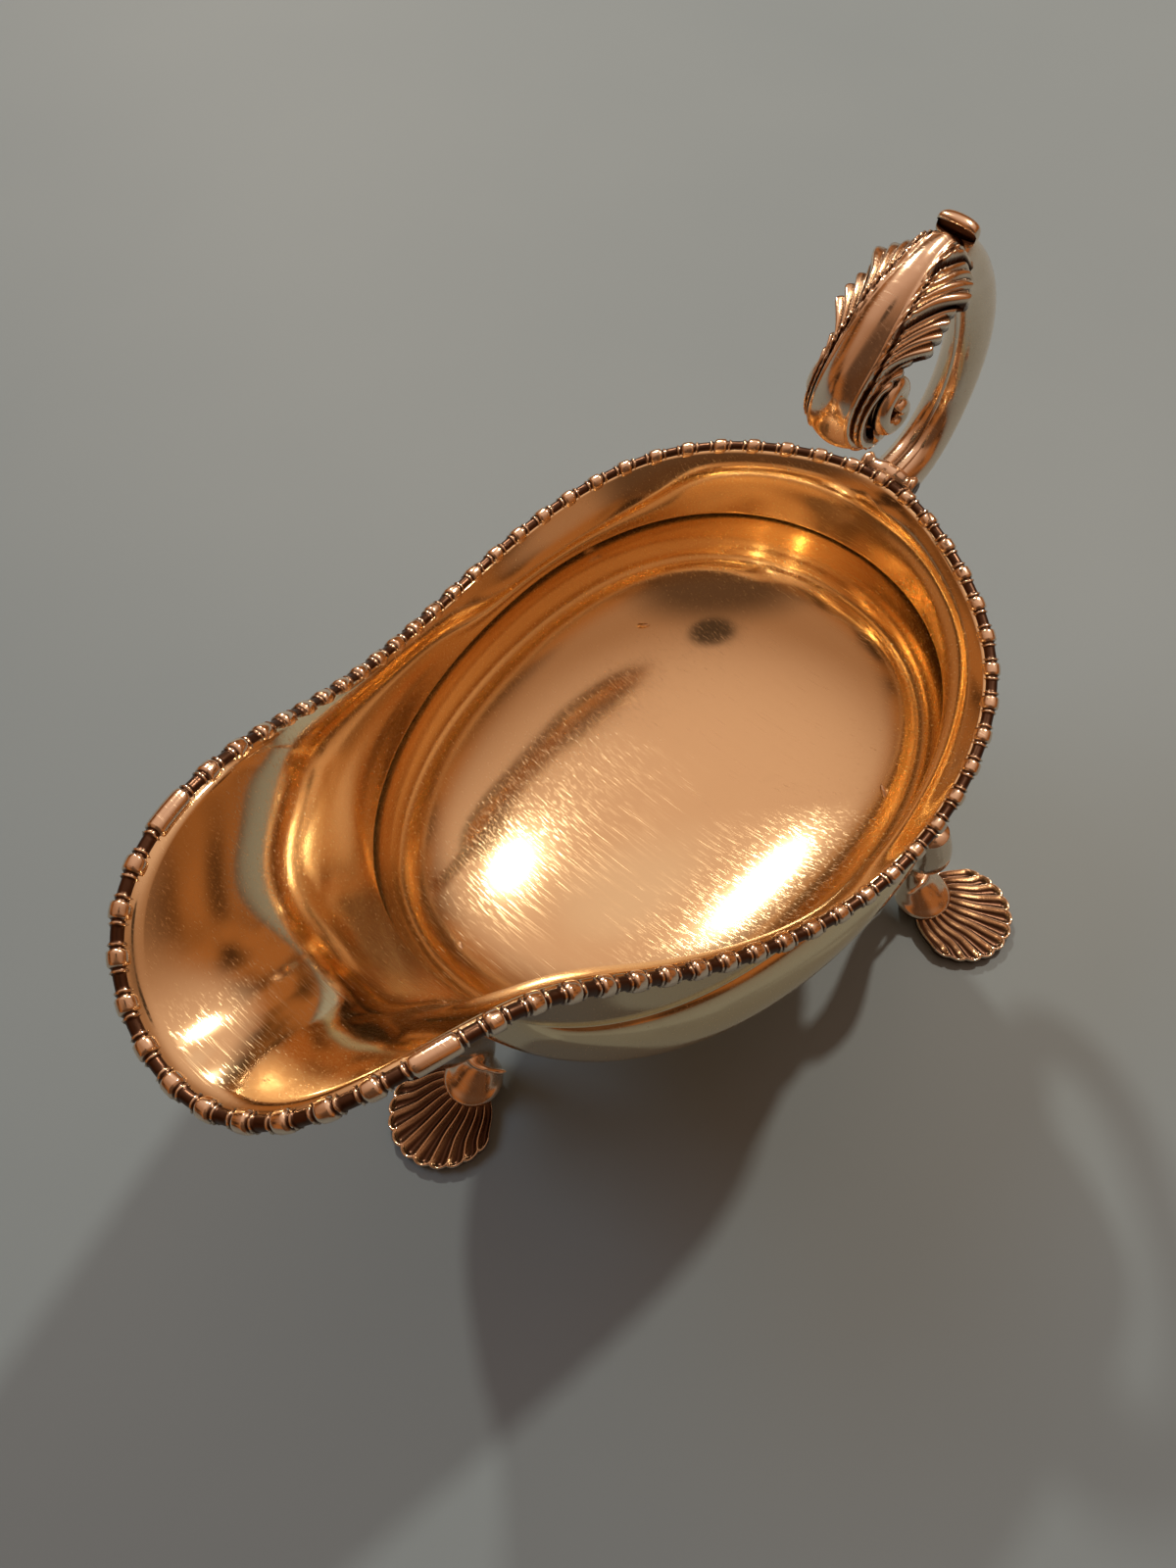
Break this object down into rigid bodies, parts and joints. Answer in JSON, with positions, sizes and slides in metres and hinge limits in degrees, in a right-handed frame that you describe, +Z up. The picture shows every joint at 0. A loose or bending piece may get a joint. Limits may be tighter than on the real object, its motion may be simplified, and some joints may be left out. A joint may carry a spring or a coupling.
{
  "type": "sauce boat",
  "caption": "Footed silver sauce boat with a wide pouring lip, gadrooned rim, leaf-capped flying scroll handle and shell feet.",
  "frame": {"origin": "on the table, under the middle of the whole boat", "axes": "+X from the spout to the handle, +Y to the left of someone who looks from the spout to the handle, +Z up; the boat is symmetric about Y = 0"},
  "size_m": [0.191, 0.1326, 0.137],
  "materials": {
    "bowl_silver": "polished, with fine cleaning scratches",
    "border_silver": "polished high points, dark tarnish in the recesses",
    "handle_silver": "polished, worn smooth",
    "leg_silver": "polished, worn smooth",
    "chased_silver": "cast and chased, polished high points, dark tarnish in the recesses"
  },
  "bodies": {
    "root": {"bowl": "bowl_silver", "bowl_border": "border_silver", "lip_border": "border_silver", "handle_half_left": "handle_silver", "handle_half_right": "handle_silver", "handle_leaf_cap": "chased_silver", "handle_thumb_scroll": "handle_silver", "handle_scroll_eyes": "handle_silver", "handle_root_collar": "handle_silver", "front_knuckle_shell": "chased_silver", "front_leg": "leg_silver", "front_shell_foot": "chased_silver", "rear_left_knuckle_shell": "chased_silver", "rear_left_leg": "leg_silver", "rear_left_shell_foot": "chased_silver", "rear_right_knuckle_shell": "chased_silver", "rear_right_leg": "leg_silver", "rear_right_shell_foot": "chased_silver"}
  },
  "joints": []
}
